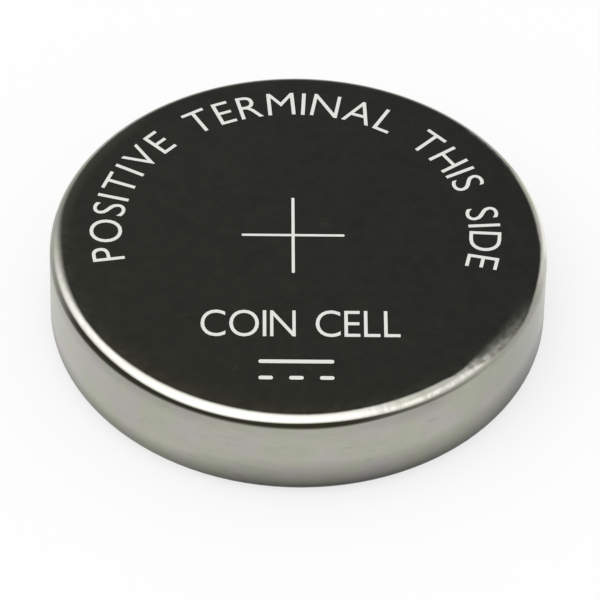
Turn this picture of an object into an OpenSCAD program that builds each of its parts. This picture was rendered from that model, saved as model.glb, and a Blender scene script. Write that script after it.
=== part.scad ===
// Rechargeable lithium coin cell, lying with its positive face up.
// The origin is the centre of the flat negative terminal, and +Z points at the
// positive face. All sizes are in millimetres.
// A drawn steel can is crimped over a plastic gasket and a stepped steel cap.
// Inside, coated anode and cathode discs alternate, with a separator between
// each two. Their foil tabs gather into two bundles: the cathodes' bundle folds
// over the stack onto the can, the anodes' bundle folds under it onto the spacer.

/* [Cell] */
// Diameter of the can
cell_d = 24.5; // [20:0.1:30]
// Height over both terminals
cell_h = 5.0; // [4.2:0.1:7.7]

/* [Can] */
// Sheet thickness of the can
can_t = 0.25; // [0.2:0.01:0.3]
// Outside radius of the shoulder round the positive face
shoulder_r = 0.5; // [0.4:0.05:0.7]
// Outside radius of the crimp that rolls the can's rim inwards
crimp_r = 0.65; // [0.55:0.05:0.8]
// Height of the crimped lip above the negative terminal's face
lip_rise = 0.1; // [0.05:0.05:0.15]
// How far the lip reaches in from the can's side
lip_reach = 1.0; // [0.9:0.05:1.05]

/* [Cap] */
// Sheet thickness of the cap
cap_t = 0.25; // [0.2:0.01:0.3]
// Inside radius of the cap's bends
cap_bend_r = 0.15; // [0.1:0.05:0.2]

/* [Gasket] */
// Wall of the gasket between the can's side and the cap's rim
gasket_side = 0.5; // [0.4:0.05:0.5]
// Thickness of the gasket between the can and the end of the cap's rim
gasket_base = 0.45; // [0.35:0.05:0.6]
// Thickness of the gasket squeezed between the lip and the cap's step
gasket_seal = 0.4; // [0.3:0.05:0.45]
// Thickness of the collar inside the cap's rim
collar_t = 0.3; // [0.2:0.05:0.4]
// How far the collar stands down from the end of the rim
collar_h = 1.1; // [0.6:0.1:1.6]
// Width of the gasket's edge that shows past the lip
bead_w = 0.25; // [0.15:0.05:0.35]
// Width of the groove between the gasket's edge and the cap's crown
groove_w = 0.3; // [0.2:0.05:0.35]

/* [Electrode stack] */
// Room between the separators' edge and the inside of the cap's crown
stack_room = 0.55; // [0.45:0.05:0.8]
// How far a separator reaches past an anode disc all round
separator_margin = 0.3; // [0.2:0.05:0.5]
// How far an anode disc reaches past a cathode disc all round
anode_margin = 0.2; // [0.1:0.05:0.4]
// Thickness of an anode disc as a multiple of a cathode disc's
anode_ratio = 1.2; // [1.1:0.05:1.4]
// Thickness of a separator
separator_t = 0.03; // [0.02:0.005:0.05]
// Thickness of the disc that insulates the stack from the can
insulator_t = 0.1; // [0.05:0.05:0.2]
// Thickness of the spacer plate on the cap
spacer_t = 0.35; // [0.2:0.05:0.6]
// Room between the spacer plate's edge and the bend of the cap's crown
spacer_room = 0.3; // [0.1:0.05:0.6]

/* [Foil tabs] */
// Thickness of the foil under the coatings, which the tabs are cut from
foil_t = 0.02; // [0.015:0.005:0.025]
// Width of a tab
tab_w = 3.0; // [2:0.1:3.4]
// Inside radius of a tab's tightest bend
tab_bend_r = 0.035; // [0.025:0.005:0.05]
// Room between the separators' edge and the bundles
tab_room = 0.1; // [0.05:0.05:0.15]
// Room between the bottom anode and its own tab, folded under it
fold_room = 0.01; // [0.005:0.005:0.02]
// How far the folded bundles reach past the stack's centre
tab_reach = 2.5; // [0:0.5:4]

/* [Hidden] */
cathodes = 7;
anodes = cathodes + 1;
separators = 2 * cathodes;
$fn = 96;

// Cutters run this far past the edge that they cut.
past = 0.5;
// How deep a tab's root is embedded in its disc.
tab_root = 1;

cell_r = cell_d / 2;
lip_r = cell_r - lip_reach;
lip_top = lip_rise + can_t;

bead_r = bead_w / 2;
crown_r = lip_r - bead_w - groove_w;
cap_outer_bend_r = cap_bend_r + cap_t;
step_z = lip_top + gasket_seal;
rim_r = cell_r - can_t - gasket_side;
rim_z = cell_h - can_t - gasket_base;

separator_r = crown_r - cap_t - stack_room;
anode_r = separator_r - separator_margin;
cathode_r = anode_r - anode_margin;
spacer_r = crown_r - cap_outer_bend_r - spacer_room;
bundle_x = separator_r + tab_room;

// The coated discs share the height that the other pieces leave them.
insulator_z = cell_h - can_t - cathodes * foil_t - insulator_t;
stack_z = cap_t + spacer_t + anodes * foil_t + fold_room;
coated_h = insulator_z - stack_z - separators * separator_t;
cathode_t = coated_h / (cathodes + anodes * anode_ratio);
anode_t = anode_ratio * cathode_t;
layer_pitch = cathode_t + anode_t + 2 * separator_t;

function anode_z(i) = stack_z + (i - 1) * layer_pitch;
function cathode_z(i) = anode_z(i) + anode_t + separator_t;
// Odd separators lie on an anode and even ones on a cathode.
function separator_z(i) =
    i % 2 == 1 ? anode_z((i + 1) / 2) + anode_t : cathode_z(i / 2) + cathode_t;

// What is outside a rounded corner whose centre is the origin.
module corner_waste(r) {
    difference() {
        square(r + past);
        circle(r);
    }
}

// Half section of everything inside the can's outer face moved in by inset.
module can_outline(inset) {
    difference() {
        translate([0, lip_rise + inset])
            square([cell_r - inset, cell_h - lip_rise - 2 * inset]);
        translate([cell_r - shoulder_r, cell_h - shoulder_r])
            corner_waste(shoulder_r - inset);
        translate([cell_r - crimp_r, lip_rise + crimp_r])
            mirror([0, 1]) corner_waste(crimp_r - inset);
    }
}

// A slab from the axis out to r, with its lower corner rounded.
module rounded_floor(r, bottom, top, corner_r) {
    difference() {
        translate([0, bottom]) square([r, top - bottom]);
        translate([r - corner_r, bottom + corner_r])
            mirror([0, 1]) corner_waste(corner_r);
    }
}

// Half section of everything inside the cap's outer face moved in by inset:
// the crown, the wider part above the step, and the fillet in the corner between.
module cap_outline(inset, top) {
    rounded_floor(crown_r - inset, inset, step_z + cap_t, cap_outer_bend_r - inset);
    rounded_floor(rim_r - inset, step_z + inset, top, cap_outer_bend_r - inset);
    difference() {
        translate([crown_r - cap_t, step_z - cap_bend_r])
            square([cap_t + cap_bend_r, cap_bend_r + cap_t]);
        translate([crown_r + cap_bend_r, step_z - cap_bend_r])
            circle(cap_bend_r + inset);
    }
}

// The drawn can: positive face, side, and the rim crimped in under the cap's step.
module positive_can() {
    color([0.62, 0.62, 0.60])
        rotate_extrude()
            difference() {
                can_outline(0);
                can_outline(can_t);
                square([lip_r, lip_top + past]);
            }
}

// The gasket fills the room between the can and the cap. Its collar stands inside
// the cap's rim, and its edge swells into a bead between the lip and the crown.
module sealing_gasket() {
    color([0.12, 0.12, 0.13])
        rotate_extrude() {
            difference() {
                can_outline(can_t);
                cap_outline(0, rim_z);
                square([lip_r - bead_w, step_z + cap_t / 2]);
                translate([0, step_z + cap_t / 2])
                    square([rim_r - cap_t - collar_t, cell_h]);
            }
            translate([rim_r - cap_t - collar_t, rim_z - collar_h])
                square([collar_t, collar_h + gasket_base / 2]);
            translate([lip_r - bead_r, lip_top])
                circle(bead_r);
        }
}

// The stepped cap: flat crown, neck, step and the rim that the gasket holds.
module negative_cap() {
    color([0.72, 0.72, 0.70])
        rotate_extrude()
            difference() {
                cap_outline(0, rim_z);
                cap_outline(cap_t, rim_z + past);
            }
}

// Plate that lies in the cap's crown and carries the stack.
module spacer_plate() {
    color([0.66, 0.67, 0.68])
        translate([0, 0, cap_t])
            cylinder(r = spacer_r, h = spacer_t);
}

// Disc between the top anode and the cathodes' bundle.
module insulating_disc() {
    color([0.85, 0.66, 0.30])
        translate([0, 0, insulator_z])
            cylinder(r = separator_r, h = insulator_t);
}

// A slab that ends at x = x1 in two rounded corners.
module rounded_end(x0, x1, bottom, top, bottom_r, top_r) {
    difference() {
        translate([x0, bottom]) square([x1 - x0, top - bottom]);
        translate([x1 - bottom_r, bottom + bottom_r])
            mirror([0, 1]) corner_waste(bottom_r);
        translate([x1 - top_r, top - top_r])
            corner_waste(top_r);
    }
}

// Side view of a tab: out from a disc's middle at height 0, up the bundle as its
// layer number inside, and back over the stack, whose face is at height rise.
module tab_profile(disc_r, rise, inside) {
    inner_x = bundle_x + inside * foil_t;
    fold_y = rise + inside * foil_t;
    fold_r = tab_bend_r + inside * foil_t;
    difference() {
        rounded_end(
            -tab_reach, inner_x + foil_t, -foil_t / 2, fold_y + foil_t,
            tab_bend_r + foil_t, fold_r + foil_t
        );
        rounded_end(
            -tab_reach - past, inner_x, foil_t / 2, fold_y,
            tab_bend_r, fold_r
        );
        translate([-tab_reach - past, -foil_t])
            square([tab_reach + past + disc_r - tab_root, foil_t + rise / 2]);
    }
}

// A coated disc with the bare foil tab that leaves its middle towards +X.
module electrode(disc_r, disc_t, rise, inside) {
    cylinder(r = disc_r, h = disc_t, center = true);
    rotate([90, 0, 0])
        linear_extrude(tab_w, center = true)
            tab_profile(disc_r, rise, inside);
}

// Cathode i, counted from the bottom. Its tab rises at +X and folds over the insulator.
module cathode(i) {
    middle = cathode_z(i) + cathode_t / 2;
    color([0.16, 0.16, 0.17])
        translate([0, 0, middle])
            electrode(
                cathode_r, cathode_t, insulator_z + insulator_t - middle, cathodes - i
            );
}

// Anode i, counted from the bottom. Its tab drops at -X and folds under the stack.
module anode(i) {
    middle = anode_z(i) + anode_t / 2;
    color([0.24, 0.23, 0.22])
        translate([0, 0, middle])
            rotate([0, 180, 0])
                electrode(anode_r, anode_t, middle - stack_z + fold_room, i - 1);
}

// Separator i, counted from the bottom.
module separator(i) {
    color([0.93, 0.93, 0.90])
        translate([0, 0, separator_z(i)])
            cylinder(r = separator_r, h = separator_t);
}

positive_can();
sealing_gasket();
negative_cap();
spacer_plate();
insulating_disc();
for (i = [1:cathodes])
    cathode(i);
for (i = [1:anodes])
    anode(i);
for (i = [1:separators])
    separator(i);
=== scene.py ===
"""Lithium coin cell: finishes, face marks, floor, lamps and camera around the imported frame."""

import math

import bpy
from mathutils import Matrix, Vector


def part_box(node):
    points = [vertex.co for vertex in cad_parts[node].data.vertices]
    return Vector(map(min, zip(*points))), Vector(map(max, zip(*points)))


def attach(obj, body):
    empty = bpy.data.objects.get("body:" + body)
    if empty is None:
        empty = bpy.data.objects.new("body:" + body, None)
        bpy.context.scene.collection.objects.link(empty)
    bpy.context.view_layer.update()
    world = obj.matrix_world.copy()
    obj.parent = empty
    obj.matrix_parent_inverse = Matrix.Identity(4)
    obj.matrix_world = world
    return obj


bl_info = {
    "name": "Lithium coin cell",
    "version": (1, 0, 0),
    "blender": (4, 5, 0),
    "location": "3D View > Sidebar > Coin cell",
    "description": "Finishes and face marks of a lithium coin cell",
    "category": "Add Mesh",
}

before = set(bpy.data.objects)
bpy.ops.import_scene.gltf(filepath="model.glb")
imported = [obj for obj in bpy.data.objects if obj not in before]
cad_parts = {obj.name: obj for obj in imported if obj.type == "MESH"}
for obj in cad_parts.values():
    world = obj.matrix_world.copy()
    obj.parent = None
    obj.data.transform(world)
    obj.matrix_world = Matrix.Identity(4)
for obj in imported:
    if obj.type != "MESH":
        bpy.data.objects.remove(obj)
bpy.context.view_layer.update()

MM = 0.001             # a millimetre, in metres
TINY = 1e-7            # a length that counts as none, in metres
FACE_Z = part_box("positive_can")[1][2]
CURVE_STEPS = 5        # steps of a curve in a letter and at a bar's rounded end
SQUARE_ON = 0.9        # a side faces an axis if more than this part of its normal lies along it
WHITE = (1.0, 1.0, 1.0)

# Sockets of the Mix node that hold colours, by number, because several share each name.
MIX_FIRST = 6
MIX_SECOND = 7
MIX_RESULT = 2

# Letterforms, each as a share of the length that its comment names.
CAPITAL = 0.682        # height of a capital, of the type size
ARC_GAIN = -0.010      # what each side of a stroke gains in the arc, of the capital's height
LINE_GAIN = -0.010     # the same in the straight line
ARC_SQUEEZE = 0.94     # width of the arc's letters, of the typeface's
LINE_SQUEEZE = 0.76    # the same in the straight line
EVEN_HEIGHT = 0.3      # height at which the arc's gaps are equal, of the capital's height
END_ROUNDING = 0.45    # radius of a bar's corners, of its stroke
END_REACH = 0.1        # how near a bar's end such a corner lies, of its stroke

# The printing, in millimetres, and the arc's two ends as angles.
# Its centre is given on the face, and the rest from that centre.
PRINT_CENTRE = (-0.282, 0.579)
ARC_WORDS = "POSITIVE TERMINAL THIS SIDE"
ARC_CENTRE = (0.12, 0.12)
ARC_SPACE = 0.75       # width of the space between two words
ARC_START = math.radians(192.4)
ARC_END = math.radians(-14.4)
LINE_WORDS = "COIN CELL"
LINE_SPACE = 0.6       # width of the space between two words
LINE_PLACE = (0.33, -7.04)
SIGN_PLACE = (0.12, -9.28)
SIGN_STROKE = 0.24
SIGN_DASH = 0.24       # length of a dash as a share of the sign's

# Sides of the can, as azimuths in degrees, at which its painted light differs: the painted highlight
# along the rim, the painted glare, and the painted sheen on the face.
HIGHLIGHT_SIDE = -110
GLARING_SIDE = 12
GLARING_FACE_SIDE = 15           # where the glare eats into the painted dark reflection on the face
SHEEN_SIDE = 158

# Heights and radii in the finishes and in the painted light and shade, in millimetres.
# A pair is where a fade starts and where it is full.
WALL_RADIUS = (11.95, 12.05)     # from the shoulder to the wall
FOOT_START = 0.60                # height above which the wall lightens out of its painted shade
FOOT_REACH = 1.75                # how far up from there it goes on lightening
UNDER_RIM = (3.6, 4.45)          # painted shade under the rim
LINE_FOOT = (4.43, 4.65)         # lower edge of the painted dark reflection line
LINE_TOP = (4.745, 4.80)         # upper edge of the painted dark reflection line
HIGHLIGHT_FOOT = (4.745, 4.865)     # lower edge of the painted highlight above the line
STREAK_FOOT = (4.78, 4.86)        # lower edge of the painted highlight streak on the right
STREAK_TOP = (4.90, 4.97)         # upper edge of that painted highlight streak
GLARE_RADIUS = (11.98, 12.10)    # painted glare down the shoulder on the glaring side
GLARE_FOOT = (4.3, 4.6)          # lower edge of that painted glare
EDGE_FOOT = (2.5, 4.2)           # lower edge of the painted highlight on the wall's right edge
DARK_REFLECTION_RADIUS = 11.94            # edge of the painted dark reflection on the face
DARK_REFLECTION_SOFTNESS = 0.095          # half of the fade at that edge
DARK_REFLECTION_FOOT = (4.7, 4.75)        # how far down the shoulder the painted dark reflection may reach
RING_WIDTH = 0.210               # how much further in its edge lies along the painted highlight
STEEL_BAND_RADIUS = 11.72            # where the band starts in which the painted dark reflection gives way to steel
STEEL_BAND_FADE = 0.12               # how far that band takes to show the steel fully
RING_SHEEN_RADIUS = (10.8, 11.7)  # painted sheen on the face along the painted highlight
SIDE_SHEEN_RADIUS = (11.2, 11.8)  # painted sheen on the face on its sheen side
WARM_RADIUS = (9.5, 11.6)        # warm tone along the painted highlight
CAP_FLAT = (0.05, 0.02)          # down to the cap's brushed flat
TAB_FADE = 0.01                  # half of the passage from a coating to its bare tab

# The stage, in metres and watts.
FLOOR_SIZE = 3.0
FLOOR_DROP = 0.01 * MM
FLOOR_GLOW = 0.69
WORLD_GLOW = 0.70                # strength of the surroundings where they aren't seen
LAMPS = (                        # name, place, width and power
    ("key_lamp", (-0.12, -0.16, 0.50), 0.60, 0.80),
)
CAMERA_DISTANCE = 0.300
CAMERA_ELEVATION = math.radians(44.87)
CAMERA_ROLL = math.radians(1.3)
CAMERA_LENS = 363.7              # in millimetres, as the sensor's width is
CAMERA_SENSOR = 36.0
CAMERA_AIM = (0.107 * MM, -1.005 * MM)
CAMERA_CLIP = (0.01, 10.0)


class CoinCellSizes(bpy.types.PropertyGroup):
    """Sizes of the marks on the positive face, in metres."""

    ink_height: bpy.props.FloatProperty(
        name="Ink height", description="How far the marks stand above the face",
        default=0.012 * MM, unit="LENGTH", subtype="DISTANCE", precision=6)
    ink_root: bpy.props.FloatProperty(
        name="Ink root", description="How far the marks reach into the face",
        default=0.006 * MM, unit="LENGTH", subtype="DISTANCE", precision=6)
    marks_turn: bpy.props.FloatProperty(
        name="Marks turn", description="How far the printing is turned on the face",
        default=math.radians(1.2), unit="ROTATION", subtype="ANGLE")
    plus_width: bpy.props.FloatProperty(
        name="Plus width", description="Length of the plus sign's level bar",
        default=5.07 * MM, unit="LENGTH", subtype="DISTANCE", precision=5)
    plus_depth: bpy.props.FloatProperty(
        name="Plus depth", description="Length of the plus sign's upright bar",
        default=5.30 * MM, unit="LENGTH", subtype="DISTANCE", precision=5)
    plus_stroke: bpy.props.FloatProperty(
        name="Plus stroke", description="Width of the plus sign's bars",
        default=0.15 * MM, unit="LENGTH", subtype="DISTANCE", precision=5)
    arc_radius: bpy.props.FloatProperty(
        name="Arc radius", description="Radius on which the arc of words stands",
        default=8.55 * MM, unit="LENGTH", subtype="DISTANCE", precision=5)
    arc_letter: bpy.props.FloatProperty(
        name="Arc letter height", description="Height of the capitals in the arc",
        default=1.60 * MM, unit="LENGTH", subtype="DISTANCE", precision=5)
    line_letter: bpy.props.FloatProperty(
        name="Line letter height", description="Height of the capitals in the straight line",
        default=1.80 * MM, unit="LENGTH", subtype="DISTANCE", precision=5)
    line_width: bpy.props.FloatProperty(
        name="Line width", description="Length of the straight line of letters",
        default=9.70 * MM, unit="LENGTH", subtype="DISTANCE", precision=5)
    sign_width: bpy.props.FloatProperty(
        name="Current sign width", description="Length of the direct-current sign",
        default=3.90 * MM, unit="LENGTH", subtype="DISTANCE", precision=5)
    sign_gap: bpy.props.FloatProperty(
        name="Current sign gap", description="Distance between the two rows of the sign",
        default=1.10 * MM, unit="LENGTH", subtype="DISTANCE", precision=5)


def colour_property(name, description, red, green, blue):
    """A colour a user can change, as linear values."""
    return bpy.props.FloatVectorProperty(
        name=name, description=description, default=(red, green, blue),
        size=3, subtype="COLOR", min=0, max=1)


class CoinCellColours(bpy.types.PropertyGroup):
    """Colours of the finishes, as linear values."""

    # The face colour is a painted dark reflection on the positive face's steel.
    face: colour_property("Face", "Dark finish of the positive face", 0.0200, 0.0208, 0.0161)
    steel: colour_property("Steel", "Bare nickel-plated steel", 0.42, 0.42, 0.385)
    # The rim colour is a painted highlight along the front of the rim.
    rim: colour_property("Rim", "Polished steel along the front of the rim", 0.85, 0.84, 0.765)
    # The line colour is a painted dark reflection under the painted highlight.
    line: colour_property("Line", "Dark line under the polished rim", 0.019, 0.018, 0.010)
    ink: colour_property("Ink", "Pale printing on the face", 0.86, 0.86, 0.82)
    gasket: colour_property("Gasket", "Moulded sealing plastic", 0.030, 0.031, 0.034)
    spacer: colour_property("Spacer", "Stamped spacer plate", 0.56, 0.55, 0.53)
    cathode: colour_property("Cathode", "Cathode coating", 0.018, 0.018, 0.020)
    cathode_foil: colour_property("Cathode foil", "Foil under the cathode coating", 0.80, 0.80, 0.81)
    anode: colour_property("Anode", "Anode coating", 0.030, 0.030, 0.031)
    anode_foil: colour_property("Anode foil", "Foil under the anode coating", 0.86, 0.44, 0.26)
    separator: colour_property("Separator", "Porous separator film", 0.84, 0.85, 0.84)
    insulator: colour_property("Insulator", "Insulating film", 0.62, 0.27, 0.035)
    floor: colour_property("Floor", "Plain pale floor", 0.34, 0.34, 0.34)


class Value:
    """A socket that can stand in a Python sum."""

    def __init__(self, finish, socket):
        self.finish = finish
        self.socket = socket

    def maths(self, operation, *terms):
        return self.finish.node("ShaderNodeMath", {"operation": operation}, dict(enumerate(terms)))

    def __add__(self, other):
        return self.maths("ADD", self, other)

    __radd__ = __add__

    def __sub__(self, other):
        return self.maths("SUBTRACT", self, other)

    def __rsub__(self, other):
        return self.maths("SUBTRACT", other, self)

    def __mul__(self, other):
        return self.maths("MULTIPLY", self, other)

    __rmul__ = __mul__

    def __truediv__(self, other):
        return self.maths("DIVIDE", self, other)

    def __pow__(self, other):
        return self.maths("POWER", self, other)

    def size(self):
        """The value without its sign."""
        return self.maths("ABSOLUTE", self)

    def low(self, other):
        return self.maths("MINIMUM", self, other)

    def high(self, other):
        return self.maths("MAXIMUM", self, other)

    def step(self, start, end):
        """0 below start and 1 above end, with a soft passage; turned round if start > end."""
        return self.finish.node(
            "ShaderNodeMapRange", {"interpolation_type": "SMOOTHSTEP", "clamp": True},
            {"Value": self, "From Min": start, "From Max": end})


class Finish:
    """The nodes of one material or world, built from expressions."""

    def __init__(self, owner):
        owner.use_nodes = True
        self.owner = owner
        self.tree = owner.node_tree
        self.tree.nodes.clear()

    def node(self, kind, settings, sockets, output=0):
        """Adds a node; sockets gives values or links by the name or number of the socket."""
        made = self.tree.nodes.new(kind)
        for key, value in settings.items():
            setattr(made, key, value)
        for place, value in sockets.items():
            if isinstance(value, Value):
                self.tree.links.new(value.socket, made.inputs[place])
            else:
                made.inputs[place].default_value = value
        return Value(self, made.outputs[output]) if made.outputs else None

    def point(self):
        """The point's place on the object, in millimetres."""
        metres = self.node("ShaderNodeTexCoord", {}, {}, output="Object")
        return self.scaled(metres, 1 / MM)

    def scaled(self, vector, factor):
        """A vector or colour times a number."""
        return self.node("ShaderNodeVectorMath", {"operation": "SCALE"}, {0: vector, "Scale": factor})

    def stretched(self, point, *scale):
        """A point times one number for each axis."""
        return self.node("ShaderNodeVectorMath", {"operation": "MULTIPLY"}, {0: point, 1: scale})

    def vector(self, x, y, z):
        """A point made of three numbers."""
        return self.node("ShaderNodeCombineXYZ", {}, {"X": x, "Y": y, "Z": z})

    def noise(self, point, scale, detail, rough):
        """Cloudy noise from 0 to 1: how fine it is, its layers, and how rough they make it."""
        return self.node("ShaderNodeTexNoise", {"noise_dimensions": "3D"},
                         {"Vector": point, "Scale": scale, "Detail": detail, "Roughness": rough})

    def mix(self, factor, first, second):
        """Colour between two colours."""
        first, second = (colour if isinstance(colour, Value) else (*colour, 1.0)
                         for colour in (first, second))
        return self.node("ShaderNodeMix", {"data_type": "RGBA"},
                         {"Factor": factor, MIX_FIRST: first, MIX_SECOND: second},
                         output=MIX_RESULT)

    def bump(self, height, depth_mm, strength):
        """A normal for a relief of this depth."""
        return self.node("ShaderNodeBump", {},
                         {"Strength": strength, "Distance": depth_mm * MM, "Height": height})

    def surface(self, sockets):
        """Ends the material in a Principled shader."""
        shader = self.node("ShaderNodeBsdfPrincipled", {}, sockets)
        self.node("ShaderNodeOutputMaterial", {}, {"Surface": shader})
        return self.owner


class Place:
    """Where the point lies on the object, in millimetres and round the cell's axis."""

    def __init__(self, finish):
        self.point = finish.point()
        self.x, self.y, self.z = (
            finish.node("ShaderNodeSeparateXYZ", {}, {"Vector": self.point}, output=axis)
            for axis in "XYZ")
        self.radius = (self.x * self.x + self.y * self.y) ** 0.5
        self.across = self.x / self.radius
        self.along = self.y / self.radius

    @property
    def leftward(self):
        """1 on the cell's left side, -1 on its right."""
        return 0.0 - self.across

    @property
    def forward(self):
        """1 on the cell's front side, -1 at its back."""
        return 0.0 - self.along

    def facing(self, degrees):
        """1 where the side faces this azimuth, 0 a quarter turn away from it."""
        angle = math.radians(degrees)
        return self.across * math.cos(angle) + self.along * math.sin(angle)


def new_finish(name):
    return Finish(bpy.data.materials.new(name))


def tints(colour, *factors):
    return tuple(channel * factor for channel, factor in zip(colour, factors))


def steel_finish(finish, point, colour):
    """Bare plated steel: colour, roughness and height of its rolled and tumbled surface."""
    cloud = finish.noise(point, 0.42, 4.0, 0.55)
    stain = finish.noise(finish.stretched(point, 1.0, 1.0, 2.2), 1.1, 3.0, 0.6)
    lines = finish.noise(finish.stretched(point, 0.5, 0.5, 14.0), 1.0, 4.0, 0.6)
    grain = finish.noise(point, 9.0, 3.0, 0.6)
    olive = tints(colour, 0.99, 1.01, 0.90)
    mauve = tints(colour, 1.01, 0.98, 1.00)
    base = finish.mix(cloud.step(0.38, 0.62), olive, mauve)
    base = finish.scaled(base, 0.83 + 0.21 * stain + 0.08 * lines + 0.05 * grain)
    rough = 0.20 + 0.08 * stain + 0.08 * lines + 0.05 * grain
    return base, rough, lines * 0.6 + grain * 0.4


def wall_foot(place):
    """Fade of the painted shade at the wall's foot: rises from 0 at the crimp to 1 up the wall,
    sooner on the left, later on the right.
    """
    left = place.leftward.step(0.10, 0.60)
    right = place.across.step(0.75, 0.95)
    start = FOOT_START - 0.15 * left
    reach = FOOT_REACH - 0.65 * left
    return ((place.z - start) / reach).high(0.0).low(1.0) ** (0.6 + 0.4 * right)


def wall_painted_shade_and_marks(finish, place):
    """How light the wall is, as painted shade: darker at the crimp, under the rim and on its right
    side, with a few handling marks.
    """
    beside = place.across.size().step(0.15, 0.50)
    open_side = 1.0 - place.across.step(0.52, 0.70)
    under_rim = place.z.step(*UNDER_RIM) * (0.05 + 0.12 * beside) * open_side
    right = place.across.step(0.55, 0.95) * (1.0 - place.across.step(0.95, 1.0))
    marks = finish.noise(finish.stretched(place.point, 0.9, 0.9, 7.0), 1.0, 2.0, 0.5)
    return ((0.10 + 0.90 * wall_foot(place)) * (1.0 - under_rim) * (1.0 - 0.22 * right)
            * (1.0 - 0.25 * marks.step(0.69, 0.75)))


def highlight_height(place):
    """Height of the point, less what the painted highlight's lower edge gains or loses round the rim.
    """
    left = place.leftward.step(0.40, 0.90)
    middle = place.across.step(-0.35, 0.15)
    right = place.across.step(0.30, 0.50)
    return place.z - (0.10 * left + 0.055 * middle - 0.035 * right)


def rim_painted_highlight(finish, place):
    """Where the rim carries a painted highlight: its front, a streak that runs on to the right, the
    right edge and the glaring side, broken by darker streaks.
    """
    front = place.facing(HIGHLIGHT_SIDE)
    full = front.step(0.28, 0.74) * (1.0 - 0.70 * place.across.step(0.30, 0.52))
    ring = highlight_height(place).step(*HIGHLIGHT_FOOT) * full
    height = place.z - 0.03 - 0.03 * place.across.step(0.50, 0.80)
    highlight_streak = height.step(*STREAK_FOOT) * (1.0 - height.step(*STREAK_TOP))
    streak_side = place.across.step(0.10, 0.40) * (1.0 - place.across.step(0.69, 0.82))
    streaks = finish.noise(finish.vector(place.across * 36.0, place.along * 36.0, place.z * 3.0),
                           1.0, 3.0, 0.6)
    highlight_gaps = 0.42 * streaks.step(0.40, 0.60) * place.across.step(0.20, 0.40)
    glare = place.facing(GLARING_SIDE).step(0.955, 0.985) * place.radius.step(*GLARE_RADIUS)
    edge = 0.35 * place.across.step(0.975, 1.0) * place.forward.step(-0.1, 0.0)
    painted_highlight = ring.high(highlight_streak * streak_side * front.step(0.0, 0.2)) * (1.0 - highlight_gaps)
    return painted_highlight.high(glare * place.z.step(*GLARE_FOOT)).high(edge * place.z.step(*EDGE_FOOT))


def rim_dark_reflection(place):
    """Where the painted dark reflection lies as a line under the painted highlight: thinner and
    fainter on the right.
    """
    thin = place.across.step(0.05, 0.45)
    height = place.z - 0.05 * place.leftward.step(0.70, 0.90)
    start, full = LINE_FOOT
    foot = height.step(start + 0.17 * thin, full + 0.06 * thin)
    top = highlight_height(place).step(*LINE_TOP)
    front = place.facing(HIGHLIGHT_SIDE).step(0.30 - 0.15 * thin, 0.76 - 0.06 * thin)
    strength = 0.97 - 0.35 * place.across.step(0.20, 0.60) - 0.30 * place.leftward.step(0.86, 0.97)
    return foot * (1.0 - top) * front * strength


def steel_band(finish, place):
    """How far the painted dark reflection gives way to the steel along the front of its right edge,
    in spots.
    """
    spots = finish.noise(
        finish.vector(place.across * 30.0, place.along * 30.0, place.radius * 4.0), 1.0, 4.0, 0.6)
    wander = finish.noise(finish.vector(place.across, place.along, 0.0), 5.0, 2.0, 0.5)
    wide = place.across.step(0.68, 0.84)
    depth = place.radius - STEEL_BAND_RADIUS + 0.40 * wide + 0.24 * wander
    reach = (depth / (STEEL_BAND_FADE + 0.66 * wide)).high(0.0).low(1.0) ** (1.2 + 0.7 * wide)
    front = place.forward.step(0.0, 0.2)
    return (reach * front * place.across.step(0.48, 0.58) * (1.0 - place.across.step(0.80, 0.98))
            * (0.55 + 0.45 * spots.step(0.38, 0.62)))


def face_mask(finish, place):
    """Where the painted dark reflection lies: all over the face, further in along the painted
    highlight.
    """
    front = place.forward.step(0.0, 0.2)
    front_right = place.across.step(0.60, 0.74) * front
    held = place.across.step(0.70, 0.84) * (1.0 - place.across.step(0.90, 1.0)) * front
    left = place.leftward.step(0.86, 1.0)
    glare = place.facing(GLARING_FACE_SIDE).step(0.965, 0.995)
    ring = place.facing(HIGHLIGHT_SIDE).step(0.12, 0.45) * (1.0 - front_right)
    width = RING_WIDTH + 0.090 * place.across.step(0.0, 0.50)
    ragged = finish.noise(finish.vector(place.across * 22.0, place.along * 22.0, place.z),
                          1.0, 3.0, 0.6)
    edge = (DARK_REFLECTION_RADIUS - ring * width + 0.04 * (ragged - 0.5) + 0.18 * held + 0.04 * left
            - 0.08 * glare)
    soft = DARK_REFLECTION_SOFTNESS - 0.03 * front_right + 0.12 * left
    mask = (edge - place.radius).step(0.0 - soft, soft) * place.z.step(*DARK_REFLECTION_FOOT)
    # the painted dark reflection gives way to steel in spots at its front-right edge
    return mask * (1.0 - 0.80 * steel_band(finish, place))


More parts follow.
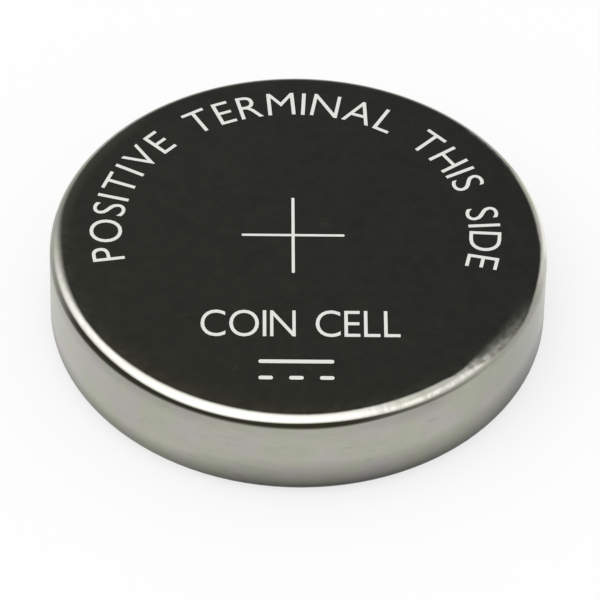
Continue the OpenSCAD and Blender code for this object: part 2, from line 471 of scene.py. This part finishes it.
def face_dark_reflection(finish, place, colour):
    """The painted dark reflection on the face: its colour and satin roughness, mottled, with painted
    sheen near the rim and lighter towards the left and front.
    """
    front = place.facing(HIGHLIGHT_SIDE)
    cloud = finish.noise(place.point, 0.45, 5.0, 0.6)
    mottle = finish.noise(place.point, 1.9, 3.0, 0.6)
    fine = finish.noise(place.point, 7.0, 2.0, 0.5)
    smudge = finish.noise(place.point, 1.3, 3.0, 0.55).step(0.64, 0.76)
    # painted sheen: the face lighter near the rim
    ring_sheen = (place.radius.step(*RING_SHEEN_RADIUS) * front.step(0.12, 0.45)
                 * mottle.step(0.25, 0.75))
    side_sheen = place.radius.step(*SIDE_SHEEN_RADIUS) * place.facing(SHEEN_SIDE).step(0.86, 0.98)
    sheen = 0.55 * ring_sheen + 0.75 * side_sheen
    warm = place.radius.step(*WARM_RADIUS) * front.step(0.6, 1.0) * 0.5
    base = finish.mix(warm, colour, tints(colour, 1.26, 1.10, 0.98))
    tone = (0.58 + 0.24 * cloud + 0.56 * mottle + 0.16 * fine + 0.22 * smudge + sheen
            - 0.010 * place.x - 0.005 * place.y)
    return finish.scaled(base, tone), 0.28 + 0.08 * cloud


def can_material(colours):
    """Positive can: bare steel with a painted dark reflection on the face, a painted highlight on the
    rim over a painted dark line, and painted shade that darkens the wall to its crimp.
    """
    finish = new_finish("can_steel_painted_light")
    place = Place(finish)
    base, rough, height = steel_finish(finish, place.point, colours.steel)
    outside = place.radius.step(*WALL_RADIUS)
    # painted shade on the wall, darkest at the crimp
    base = finish.scaled(base, 1.0 + (wall_painted_shade_and_marks(finish, place) - 1.0) * outside)
    painted_highlight = rim_painted_highlight(finish, place)
    # painted highlight along the rim
    base = finish.mix(painted_highlight, base, colours.rim)
    # painted dark reflection as a line under the highlight
    base = finish.mix(rim_dark_reflection(place) * outside, base, colours.line)
    face = face_mask(finish, place)
    dark, satin = face_dark_reflection(finish, place, colours.face)
    # painted dark reflection over the face
    base = finish.mix(face, base, dark)
    rough = rough + 0.10 * painted_highlight
    return finish.surface({
        "Base Color": base, "Metallic": 1.0, "Roughness": rough + (satin - rough) * face,
        "Normal": finish.bump(height * (1.0 - painted_highlight), 0.004, 0.3)})


def cap_material(colours):
    """Negative cap: bare steel, drawn round at its rim and finely brushed on its flat."""
    finish = new_finish("cap_steel_brushed")
    place = Place(finish)
    base, rough, height = steel_finish(finish, place.point, colours.steel)
    brushed = finish.noise(finish.stretched(place.point, 1.2, 26.0, 1.0), 1.0, 4.0, 0.6)
    scuff = finish.noise(place.point, 1.6, 4.0, 0.6).step(0.55, 0.75)
    flat = place.z.step(*CAP_FLAT)
    base = finish.scaled(base, 1.0 + (0.12 * brushed - 0.06) * flat - 0.05 * scuff)
    return finish.surface({
        "Base Color": base, "Metallic": 1.0,
        "Roughness": rough + (0.08 * brushed + 0.06 * scuff) * flat,
        "Normal": finish.bump(height + brushed * flat * 0.6, 0.004, 0.3)})


def gasket_material(colours):
    """Sealing gasket: moulded plastic with a fine matt skin."""
    finish = new_finish("gasket_moulded")
    point = finish.point()
    skin = finish.noise(point, 14.0, 3.0, 0.6)
    flow = finish.noise(finish.stretched(point, 0.6, 0.6, 5.0), 1.0, 3.0, 0.5)
    dust = finish.noise(point, 5.0, 3.0, 0.7).step(0.62, 0.74)
    return finish.surface({
        "Base Color": finish.scaled(colours.gasket, 0.85 + 0.3 * flow + 0.9 * dust),
        "Roughness": 0.48 + 0.16 * skin + 0.1 * dust,
        "Normal": finish.bump(skin, 0.006, 0.5)})


def spacer_material(colours):
    """Spacer plate: stamped plate with a rolled grain."""
    finish = new_finish("spacer_satin")
    point = finish.point()
    rolled = finish.noise(finish.stretched(point, 0.8, 18.0, 0.8), 1.0, 4.0, 0.6)
    cloud = finish.noise(point, 0.7, 3.0, 0.5)
    return finish.surface({
        "Base Color": finish.scaled(colours.spacer, 0.86 + 0.14 * rolled + 0.10 * cloud),
        "Metallic": 1.0, "Roughness": 0.30 + 0.16 * rolled,
        "Normal": finish.bump(rolled, 0.004, 0.4)})


def electrode_material(name, node, coating, foil):
    """Coated electrode: grainy black coating on the disc, bare foil on its tab."""
    finish = new_finish(name)
    place = Place(finish)
    disc_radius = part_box(node)[1][1] / MM
    grain = finish.noise(place.point, 16.0, 4.0, 0.65)
    patch = finish.noise(place.point, 1.1, 3.0, 0.5)
    rolled = finish.noise(finish.stretched(place.point, 1.5, 22.0, 1.5), 1.0, 3.0, 0.6)
    tab = place.radius.step(disc_radius - TAB_FADE, disc_radius + TAB_FADE)
    black = finish.scaled(coating, 0.75 + 0.35 * grain + 0.2 * patch)
    metal = finish.scaled(foil, 0.86 + 0.2 * rolled)
    matt = 0.78 + 0.14 * grain
    return finish.surface({
        "Base Color": finish.mix(tab, black, metal), "Metallic": tab,
        "Roughness": matt + (0.30 + 0.12 * rolled - matt) * tab,
        "Normal": finish.bump(grain * (1.0 - tab) + rolled * tab * 0.3, 0.006, 0.6)})


def separator_material(colours):
    """Separator: white porous film."""
    finish = new_finish("separator_porous")
    point = finish.point()
    fibre = finish.noise(finish.stretched(point, 3.0, 20.0, 3.0), 1.0, 4.0, 0.7)
    cloud = finish.noise(point, 0.9, 3.0, 0.5)
    return finish.surface({
        "Base Color": finish.scaled(colours.separator, 0.88 + 0.10 * fibre + 0.06 * cloud),
        "Roughness": 0.62 + 0.18 * fibre,
        "Normal": finish.bump(fibre, 0.004, 0.5)})


def insulator_material(colours):
    """Insulating disc: amber film with a soft gloss."""
    finish = new_finish("insulator_amber")
    point = finish.point()
    rolled = finish.noise(finish.stretched(point, 0.7, 9.0, 0.7), 1.0, 3.0, 0.5)
    cloud = finish.noise(point, 0.6, 3.0, 0.5)
    return finish.surface({
        "Base Color": finish.scaled(colours.insulator, 0.84 + 0.18 * rolled + 0.12 * cloud),
        "Roughness": 0.22 + 0.12 * cloud, "Coat Weight": 0.3 + 0.2 * cloud,
        "Normal": finish.bump(rolled, 0.003, 0.3)})


def ink_material(colours):
    """Pale printing: slightly uneven, with a dry grain."""
    finish = new_finish("ink_pale")
    point = finish.point()
    grain = finish.noise(point, 14.0, 3.0, 0.6)
    cover = finish.noise(point, 2.4, 3.0, 0.5)
    return finish.surface({
        "Base Color": finish.scaled(colours.ink, 0.93 + 0.08 * cover + 0.05 * grain),
        "Roughness": 0.50 + 0.2 * grain,
        "Normal": finish.bump(grain, 0.003, 0.4)})


def seen_ray(finish):
    """1 for the rays that show a background: camera, glossy and transmission rays."""
    camera, glossy, passing = (
        finish.node("ShaderNodeLightPath", {}, {}, output=name)
        for name in ("Is Camera Ray", "Is Glossy Ray", "Is Transmission Ray"))
    return camera.high(glossy).high(passing)


def floor_material(colours):
    """Plain pale floor that keeps the object's shadow."""
    finish = new_finish("floor_pale")
    cloud = finish.noise(finish.point(), 0.02, 2.0, 0.5)
    return finish.surface({
        "Base Color": finish.scaled(colours.floor, 0.99 + 0.02 * cloud),
        "Roughness": 0.9, "Specular IOR Level": 0.0,
        "Emission Color": finish.scaled(WHITE, seen_ray(finish)),
        "Emission Strength": FLOOR_GLOW})


def world_light():
    """Even pale surroundings: white where they are seen, softer as a light."""
    world = bpy.data.worlds.new("surroundings")
    bpy.context.scene.world = world
    finish = Finish(world)
    light = finish.node("ShaderNodeBackground", {},
                        {"Color": (*WHITE, 1.0),
                         "Strength": WORLD_GLOW + (1.0 - WORLD_GLOW) * seen_ray(finish)})
    finish.node("ShaderNodeOutputWorld", {}, {"Surface": light})


def dress(names, material):
    """Gives a finish to every slot of the named solids."""
    for name in names:
        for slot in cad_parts[name].material_slots:
            slot.material = material


def clear_selection():
    if bpy.context.object and bpy.context.object.mode != "OBJECT":
        bpy.ops.object.mode_set(mode="OBJECT")
    bpy.ops.object.select_all(action="DESELECT")


def applied(piece):
    """Puts the object's place, turn and scale into its mesh."""
    clear_selection()
    piece.select_set(True)
    bpy.context.view_layer.objects.active = piece
    bpy.ops.object.transform_apply(location=True, rotation=True, scale=True)
    return piece


def joined(pieces, name):
    """Makes one piece of several."""
    clear_selection()
    for piece in pieces:
        piece.select_set(True)
    bpy.context.view_layer.objects.active = pieces[0]
    bpy.ops.object.join()
    piece = bpy.context.object
    piece.name = piece.data.name = name
    return piece


def printed(piece, material, sizes):
    """Places a mark with the printing on the face and hands it to the frame."""
    piece.rotation_euler.z = sizes.marks_turn
    piece.location.x, piece.location.y = (value * MM for value in PRINT_CENTRE)
    applied(piece)
    piece.data.materials.clear()
    piece.data.materials.append(material)
    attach(piece, "root")


def ink_middle(sizes):
    """Height of the middle of the ink, which reaches a little into the face."""
    return FACE_Z + (sizes.ink_height - sizes.ink_root) / 2


def ink_block(length, width, centre, sizes):
    """A flat block of ink that later steps shape."""
    clear_selection()
    bpy.ops.mesh.primitive_cube_add(size=1.0, location=(*centre, ink_middle(sizes)))
    piece = bpy.context.object
    piece.scale = (length, width, sizes.ink_height + sizes.ink_root)
    return applied(piece)


def draw_out(piece, axis, side, length, stroke):
    """Extrudes the middle of one side of a block to half of a bar's length."""
    bpy.ops.object.mode_set(mode="EDIT")
    bpy.ops.mesh.select_mode(type="FACE")
    bpy.ops.mesh.select_all(action="DESELECT")
    bpy.ops.object.mode_set(mode="OBJECT")
    for face in piece.data.polygons:
        outer = face.normal[axis] * side > SQUARE_ON
        face.select = outer and abs(face.center[1 - axis]) < stroke / 2
    bpy.ops.object.mode_set(mode="EDIT")
    move = [0.0, 0.0, 0.0]
    move[axis] = side * (length - stroke) / 2
    bpy.ops.mesh.extrude_region_move(TRANSFORM_OT_translate={"value": move})
    bpy.ops.object.mode_set(mode="OBJECT")


def round_ends(piece, stroke):
    """Rounds the upright corners at the far ends of a flat mark's bars."""
    places = [vertex.co for vertex in piece.data.vertices]
    ends = [(axis, pick(place[axis] for place in places)) for axis in (0, 1) for pick in (min, max)]
    bpy.ops.object.mode_set(mode="EDIT")
    bpy.ops.mesh.select_mode(type="EDGE")
    bpy.ops.mesh.select_all(action="DESELECT")
    bpy.ops.object.mode_set(mode="OBJECT")
    for edge in piece.data.edges:
        foot, top = (places[index] for index in edge.vertices)
        upright = (foot - top).xy.length < TINY
        edge.select = upright and any(
            abs(foot[axis] - end) < stroke * END_REACH for axis, end in ends)
    bpy.ops.object.mode_set(mode="EDIT")
    bpy.ops.mesh.bevel(offset=stroke * END_ROUNDING, segments=CURVE_STEPS, affect="EDGES",
                       clamp_overlap=True)
    bpy.ops.object.mode_set(mode="OBJECT")


def letter(character, height, squeeze, gain, sizes):
    """One letter of ink as a mesh, its foot on X and its middle on Y, and its width."""
    clear_selection()
    bpy.ops.object.text_add(location=(0.0, 0.0, 0.0))
    text = bpy.context.object
    text.data.body = character
    text.data.size = height / CAPITAL
    text.data.resolution_u = CURVE_STEPS
    text.data.offset = height * gain
    text.data.extrude = (sizes.ink_height + sizes.ink_root) / 2
    bpy.ops.object.convert(target="MESH")
    piece = bpy.context.object
    bpy.ops.object.mode_set(mode="EDIT")
    bpy.ops.mesh.select_all(action="SELECT")
    bpy.ops.mesh.remove_doubles(threshold=TINY)
    bpy.ops.mesh.normals_make_consistent(inside=False)
    bpy.ops.object.mode_set(mode="OBJECT")
    reach = [vertex.co.x for vertex in piece.data.vertices]
    low, high = min(reach), max(reach)
    piece.location.x = -(low + high) / 2
    applied(piece)
    piece.scale.x = squeeze
    piece.location.z = ink_middle(sizes)
    applied(piece)
    return piece, (high - low) * squeeze


def spaced(words, length, space, height, squeeze, gain, sizes):
    """The letters of a text spread over a length, each with the place of its middle."""
    letters = [(None, space * MM) if character == " "
               else letter(character, height, squeeze, gain, sizes) for character in words]
    gap = (length - sum(width for piece, width in letters)) / (len(letters) - 1)
    placed = []
    reached = 0.0
    for piece, width in letters:
        if piece:
            placed.append((piece, reached + width / 2))
        reached += width + gap
    return placed


class COINCELL_OT_can(bpy.types.Operator):
    """Finish the positive can"""

    bl_idname = "coin_cell.can"
    bl_label = "Positive can"

    def execute(self, context):
        dress(["positive_can"], can_material(context.scene.coin_cell_colours))
        return {"FINISHED"}


class COINCELL_OT_cap(bpy.types.Operator):
    """Finish the negative cap and the sealing gasket"""

    bl_idname = "coin_cell.cap"
    bl_label = "Negative cap and gasket"

    def execute(self, context):
        colours = context.scene.coin_cell_colours
        dress(["negative_cap"], cap_material(colours))
        dress(["sealing_gasket"], gasket_material(colours))
        return {"FINISHED"}


class COINCELL_OT_stack(bpy.types.Operator):
    """Finish the electrodes, separators, spacer and insulating disc"""

    bl_idname = "coin_cell.stack"
    bl_label = "Electrode stack"

    def execute(self, context):
        colours = context.scene.coin_cell_colours
        names = list(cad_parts)
        cathodes = [name for name in names if name.startswith("cathode_")]
        anodes = [name for name in names if name.startswith("anode_")]
        separators = [name for name in names if name.startswith("separator_")]
        dress(cathodes, electrode_material(
            "cathode_coated", cathodes[0], colours.cathode, colours.cathode_foil))
        dress(anodes, electrode_material(
            "anode_coated", anodes[0], colours.anode, colours.anode_foil))
        dress(separators, separator_material(colours))
        dress(["spacer_plate"], spacer_material(colours))
        dress(["insulating_disc"], insulator_material(colours))
        return {"FINISHED"}


class COINCELL_OT_plus(bpy.types.Operator):
    """Model the plus sign on the positive face"""

    bl_idname = "coin_cell.plus"
    bl_label = "Plus sign"

    def execute(self, context):
        sizes = context.scene.coin_cell_sizes
        stroke = sizes.plus_stroke
        piece = ink_block(stroke, stroke, (0.0, 0.0), sizes)
        for axis, length in ((0, sizes.plus_width), (1, sizes.plus_depth)):
            for side in (-1, 1):
                draw_out(piece, axis, side, length, stroke)
        round_ends(piece, stroke)
        piece.name = piece.data.name = "plus_sign"
        printed(piece, ink_material(context.scene.coin_cell_colours), sizes)
        return {"FINISHED"}


class COINCELL_OT_words(bpy.types.Operator):
    """Model the arc of words and the straight line of letters"""

    bl_idname = "coin_cell.words"
    bl_label = "Words"

    def execute(self, context):
        sizes = context.scene.coin_cell_sizes
        ink = ink_material(context.scene.coin_cell_colours)
        even_radius = sizes.arc_radius + sizes.arc_letter * EVEN_HEIGHT
        length = (ARC_START - ARC_END) * even_radius
        letters = spaced(
            ARC_WORDS, length, ARC_SPACE, sizes.arc_letter, ARC_SQUEEZE, ARC_GAIN, sizes)
        for piece, middle in letters:
            angle = ARC_START - middle / even_radius
            piece.rotation_euler.z = angle - math.pi / 2
            piece.location.x = ARC_CENTRE[0] * MM + sizes.arc_radius * math.cos(angle)
            piece.location.y = ARC_CENTRE[1] * MM + sizes.arc_radius * math.sin(angle)
            applied(piece)
        printed(joined([piece for piece, middle in letters], "arc_words"), ink, sizes)

        length = sizes.line_width
        letters = spaced(
            LINE_WORDS, length, LINE_SPACE, sizes.line_letter, LINE_SQUEEZE, LINE_GAIN, sizes)
        for piece, middle in letters:
            piece.location.x = LINE_PLACE[0] * MM + middle - length / 2
            piece.location.y = LINE_PLACE[1] * MM
            applied(piece)
        printed(joined([piece for piece, middle in letters], "line_words"), ink, sizes)
        return {"FINISHED"}


class COINCELL_OT_sign(bpy.types.Operator):
    """Model the direct-current sign: a long bar over three short ones"""

    bl_idname = "coin_cell.sign"
    bl_label = "Direct-current sign"

    def execute(self, context):
        sizes = context.scene.coin_cell_sizes
        stroke = SIGN_STROKE * MM
        x, y = (value * MM for value in SIGN_PLACE)
        dash = sizes.sign_width * SIGN_DASH
        pitch = (sizes.sign_width - dash) / 2
        plan = [(sizes.sign_width, x, y + sizes.sign_gap / 2)]
        plan += [(dash, x + number * pitch, y - sizes.sign_gap / 2) for number in (-1, 0, 1)]
        bars = []
        for length, bar_x, bar_y in plan:
            bars.append(ink_block(length - stroke, stroke, (bar_x, bar_y), sizes))
            round_ends(bars[-1], stroke)
        printed(joined(bars, "current_sign"), ink_material(context.scene.coin_cell_colours), sizes)
        return {"FINISHED"}


class COINCELL_OT_stage(bpy.types.Operator):
    """Set out the floor, the lamps, the world and the camera"""

    bl_idname = "coin_cell.stage"
    bl_label = "Stage"

    def execute(self, context):
        clear_selection()
        bpy.ops.mesh.primitive_plane_add(size=FLOOR_SIZE, location=(0.0, 0.0, -FLOOR_DROP))
        floor = bpy.context.object
        floor.name = floor.data.name = "floor"
        floor.data.materials.append(floor_material(context.scene.coin_cell_colours))
        world_light()
        for lamp in LAMPS:
            place_lamp(*lamp)
        place_camera()
        context.scene.view_settings.view_transform = "Standard"
        return {"FINISHED"}


def place_lamp(name, place, size, power):
    """A round soft lamp that shines on the middle of the cell."""
    clear_selection()
    bpy.ops.object.light_add(type="AREA", location=place)
    lamp = bpy.context.object
    lamp.name = lamp.data.name = name
    lamp.data.shape = "DISK"
    lamp.data.size = size
    lamp.data.energy = power
    aim = Vector((0.0, 0.0, FACE_Z / 2)) - Vector(place)
    lamp.rotation_euler = aim.to_track_quat("-Z", "Y").to_euler()


def place_camera():
    """Camera at the photograph's angle, aimed a little below and to the right of the centre."""
    centre = Vector((0.0, 0.0, FACE_Z / 2))
    back = Vector((0.0, -math.cos(CAMERA_ELEVATION), math.sin(CAMERA_ELEVATION)))
    turn = (Matrix.Rotation(math.pi / 2 - CAMERA_ELEVATION, 4, "X")
            @ Matrix.Rotation(CAMERA_ROLL, 4, "Z"))
    clear_selection()
    bpy.ops.object.camera_add(location=(0.0, 0.0, 0.0))
    camera = bpy.context.object
    camera.name = camera.data.name = "camera"
    aside = turn.to_3x3() @ Vector((*CAMERA_AIM, 0.0))
    camera.matrix_world = Matrix.Translation(centre + back * CAMERA_DISTANCE + aside) @ turn
    camera.data.lens = CAMERA_LENS
    camera.data.sensor_width = CAMERA_SENSOR
    camera.data.clip_start, camera.data.clip_end = CAMERA_CLIP
    bpy.context.scene.camera = camera


class COINCELL_PT_panel(bpy.types.Panel):
    """Lists the coin cell's pieces and settings"""

    bl_idname = "COINCELL_PT_panel"
    bl_label = "Coin cell"
    bl_space_type = "VIEW_3D"
    bl_region_type = "UI"
    bl_category = "Coin cell"

    def draw(self, context):
        for operator in OPERATORS:
            self.layout.operator(operator.bl_idname)
        for group in (context.scene.coin_cell_sizes, context.scene.coin_cell_colours):
            box = self.layout.box()
            for key in group.__annotations__:
                box.prop(group, key)


OPERATORS = (COINCELL_OT_stage, COINCELL_OT_can, COINCELL_OT_cap, COINCELL_OT_stack,
             COINCELL_OT_plus, COINCELL_OT_words, COINCELL_OT_sign)
CLASSES = (CoinCellSizes, CoinCellColours, *OPERATORS, COINCELL_PT_panel)


def register():
    for item in CLASSES:
        bpy.utils.register_class(item)
    bpy.types.Scene.coin_cell_sizes = bpy.props.PointerProperty(type=CoinCellSizes)
    bpy.types.Scene.coin_cell_colours = bpy.props.PointerProperty(type=CoinCellColours)


def unregister():
    del bpy.types.Scene.coin_cell_sizes
    del bpy.types.Scene.coin_cell_colours
    for item in reversed(CLASSES):
        bpy.utils.unregister_class(item)


def main():
    register()
    bpy.ops.coin_cell.stage()
    bpy.ops.coin_cell.can()
    bpy.ops.coin_cell.cap()
    bpy.ops.coin_cell.stack()
    bpy.ops.coin_cell.plus()
    bpy.ops.coin_cell.words()
    bpy.ops.coin_cell.sign()


if __name__ == "__main__":
    main()
